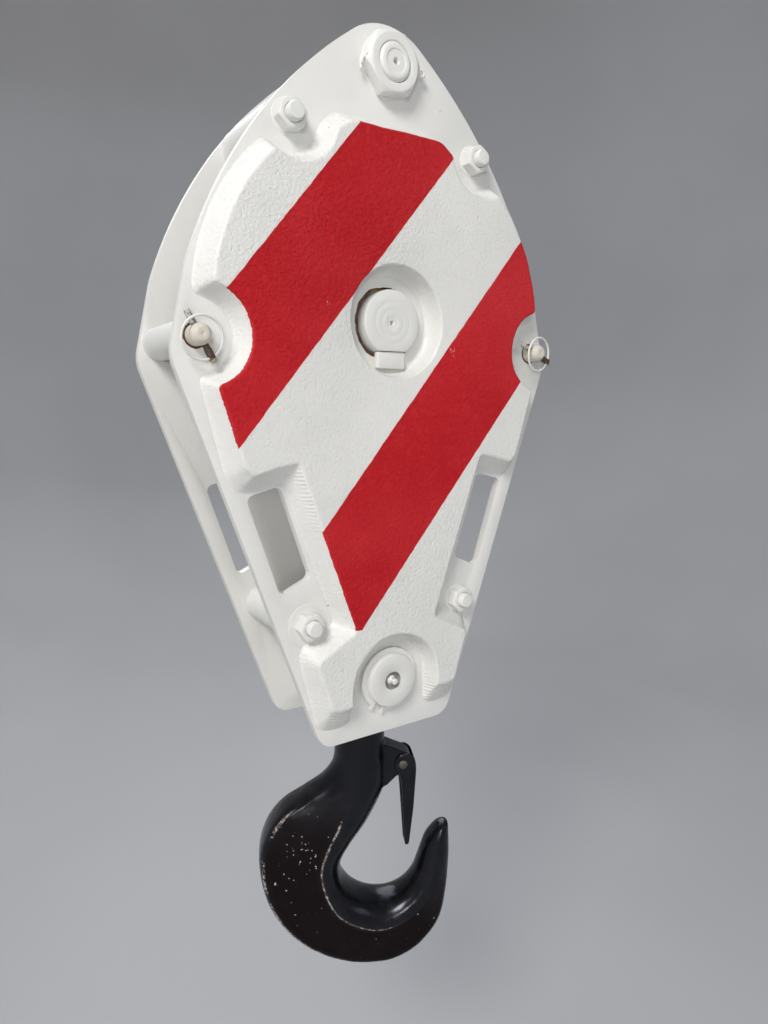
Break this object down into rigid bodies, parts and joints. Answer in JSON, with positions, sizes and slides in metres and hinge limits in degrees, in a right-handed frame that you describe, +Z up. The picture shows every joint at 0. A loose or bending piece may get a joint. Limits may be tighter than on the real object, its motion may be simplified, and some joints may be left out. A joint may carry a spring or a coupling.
{
  "type": "crane hook block",
  "caption": "Crane hook block with twin side plates, thick striped cheek weights, a grooved rope sheave, a swivelling forged hook on a tilting crosshead and a hanging safety latch.",
  "frame": {"origin": "centre of the rope sheave, midway between the two side plates, where the rope holds the block up", "axes": "+X across the side plates to the right of the front face, +Y along every pin from the front plate to the rear plate, +Z up"},
  "size_m": [0.3788, 0.1349, 0.8748],
  "materials": {
    "white_paint": "thick semi-gloss white enamel with orange peel, drips and small chips",
    "striped_paint": "thick semi-gloss white enamel over rough cast iron, with two diagonal red bands",
    "worn_steel": "worn and greasy bare or plated steel",
    "rusty_steel": "rusted bare steel",
    "bronze": "machined bearing bronze",
    "black_paint": "glossy black paint, chipped and rubbed along the edges"
  },
  "bodies": {
    "block": {"side_plate_front": "white_paint", "side_plate_rear": "white_paint", "becket_nut": "white_paint", "becket_sleeve_front": "white_paint", "becket_sleeve_rear": "white_paint", "sheave_axle": "white_paint", "axle_keeper_front": "white_paint", "axle_keeper_rear": "white_paint", "guard_tube_left": "white_paint", "guard_tube_right": "white_paint", "tie_bolt_upper_left": "white_paint", "tie_nut_upper_left": "white_paint", "spacer_tube_upper_left": "white_paint", "tie_bolt_upper_right": "white_paint", "tie_nut_upper_right": "white_paint", "spacer_tube_upper_right": "white_paint", "tie_bolt_lower_left": "white_paint", "tie_nut_lower_left": "white_paint", "spacer_tube_lower_left": "white_paint", "tie_bolt_lower_right": "white_paint", "tie_nut_lower_right": "white_paint", "spacer_tube_lower_right": "white_paint", "cheek_weight_front": "striped_paint", "cheek_weight_rear": "striped_paint", "becket_pin": "worn_steel", "becket_split_pin": "worn_steel", "axle_grease_nipple": "worn_steel", "sheave_side_washer_front": "bronze", "sheave_side_washer_rear": "bronze"},
    "sheave_body": {"sheave": "worn_steel", "sheave_flange_front": "worn_steel", "sheave_flange_rear": "worn_steel", "sheave_bush": "bronze"},
    "crosshead_body": {"crosshead": "white_paint", "journal_circlip_front": "worn_steel", "journal_circlip_rear": "worn_steel", "journal_grease_nipple_front": "worn_steel", "journal_grease_nipple_rear": "worn_steel", "thrust_race_lower": "worn_steel"},
    "cage_body": {"thrust_ball_cage": "worn_steel"},
    "hook_body": {"hook": "black_paint", "thrust_race_upper": "worn_steel", "hook_nut": "worn_steel", "hook_nut_lock_pin": "worn_steel", "latch_pin": "worn_steel"},
    "latch_body": {"latch": "black_paint"},
    "guard_pin_left_body": {"guard_pin_left": "worn_steel"},
    "lynch_pin_left_body": {"lynch_pin_left": "rusty_steel"},
    "lynch_ring_left_body": {"lynch_ring_left": "worn_steel"},
    "guard_pin_right_body": {"guard_pin_right": "worn_steel"},
    "lynch_pin_right_body": {"lynch_pin_right": "rusty_steel"},
    "lynch_ring_right_body": {"lynch_ring_right": "worn_steel"}
  },
  "joints": [
    {"name": "sheave_spin", "type": "hinge", "parent": "block", "child": "sheave_body", "pos_m": [0, 0, 0], "axis": [0, 1, 0], "continuous": true},
    {"name": "crosshead_tilt", "type": "hinge", "parent": "block", "child": "crosshead_body", "pos_m": [0, 0, -0.32], "axis": [0, 1, 0], "range_deg": [-20, 20]},
    {"name": "hook_swivel", "type": "hinge", "parent": "crosshead_body", "child": "hook_body", "pos_m": [0, 0, -0.32], "axis": [0, 0, 1], "continuous": true},
    {"name": "cage_turn", "type": "hinge", "parent": "crosshead_body", "child": "cage_body", "pos_m": [0, 0, -0.32], "axis": [0, 0, 1], "continuous": true},
    {"name": "latch_swing", "type": "hinge", "parent": "hook_body", "child": "latch_body", "pos_m": [0.03775, -0.01841, -0.424], "axis": [0.4384, 0.8988, 0], "range_deg": [-10, 27]},
    {"name": "guard_pin_left_turn", "type": "hinge", "parent": "block", "child": "guard_pin_left_body", "pos_m": [-0.17, 0, -0.0185], "axis": [0, -1, 0], "continuous": true},
    {"name": "lynch_pin_left_play", "type": "slide", "parent": "guard_pin_left_body", "child": "lynch_pin_left_body", "axis": [0.4772, 0, -0.8788], "range_m": [-0.003, 0.004]},
    {"name": "lynch_ring_left_flip", "type": "hinge", "parent": "lynch_pin_left_body", "child": "lynch_ring_left_body", "pos_m": [-0.16117, -0.0585, -0.03476], "axis": [0.8788, 0, 0.4772], "range_deg": [0, 100]},
    {"name": "guard_pin_right_turn", "type": "hinge", "parent": "block", "child": "guard_pin_right_body", "pos_m": [0.17, 0, -0.0185], "axis": [0, -1, 0], "continuous": true},
    {"name": "lynch_pin_right_play", "type": "slide", "parent": "guard_pin_right_body", "child": "lynch_pin_right_body", "axis": [0.91, 0, -0.4147], "range_m": [-0.003, 0.004]},
    {"name": "lynch_ring_right_flip", "type": "hinge", "parent": "lynch_pin_right_body", "child": "lynch_ring_right_body", "pos_m": [0.18683, -0.0585, -0.02617], "axis": [0.4147, 0, 0.91], "range_deg": [0, 100]}
  ],
  "couplings": [
    {"joint": "cage_turn", "follows": "hook_swivel", "ratio": 0.5}
  ]
}
